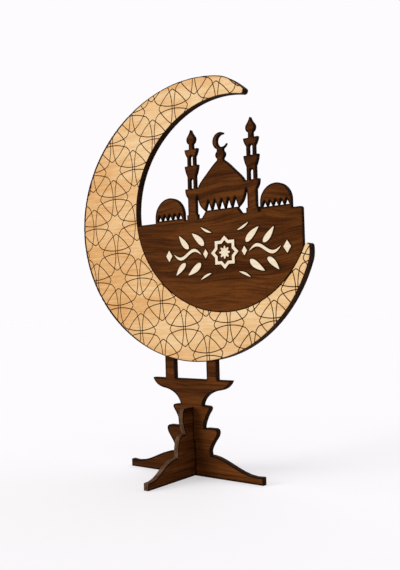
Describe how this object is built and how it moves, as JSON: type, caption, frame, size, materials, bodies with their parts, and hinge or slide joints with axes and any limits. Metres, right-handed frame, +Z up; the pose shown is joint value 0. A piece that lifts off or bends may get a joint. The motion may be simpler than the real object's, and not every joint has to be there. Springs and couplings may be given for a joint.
{
  "type": "wooden mosque table ornament",
  "caption": "Free-standing laser-cut wooden ornament: a patterned crescent holding an inlaid mosque skyline, on a stand of two slotted plates.",
  "frame": {"origin": "on the surface that the ornament stands on, under the middle of the pedestal, where the two stand plates cross", "axes": "+Z up, +X to the right along the main board, seen from the front, +Y behind the main board"},
  "size_m": [0.2208, 0.0945, 0.3062],
  "materials": {
    "stand_walnut": "matt walnut with horizontal grain, laser-burnt edges",
    "panel_walnut": "matt walnut with horizontal grain, laser-burnt edges",
    "maple": "satin light wood with a fine engraved line pattern, laser-burnt edges",
    "inlay": "cream, matt"
  },
  "bodies": {
    "root": {"main_board": "stand_walnut", "cross_plate": "stand_walnut", "crescent_face": "maple", "mosque_panel": "panel_walnut", "inlay_star_ring": "inlay", "inlay_rosette": "inlay", "inlay_right_inner_lozenge": "inlay", "inlay_left_inner_lozenge": "inlay", "inlay_right_vine": "inlay", "inlay_left_vine": "inlay", "inlay_right_upper_leaf": "inlay", "inlay_left_upper_leaf": "inlay", "inlay_right_outer_upper_leaf": "inlay", "inlay_left_outer_upper_leaf": "inlay", "inlay_right_lower_leaf": "inlay", "inlay_left_lower_leaf": "inlay", "inlay_right_outer_lower_leaf": "inlay", "inlay_left_outer_lower_leaf": "inlay", "inlay_right_outer_lozenge": "inlay", "inlay_left_outer_lozenge": "inlay", "inlay_right_upper_sliver": "inlay", "inlay_left_upper_sliver": "inlay", "inlay_right_lower_sliver": "inlay", "inlay_left_lower_sliver": "inlay"}
  },
  "joints": []
}
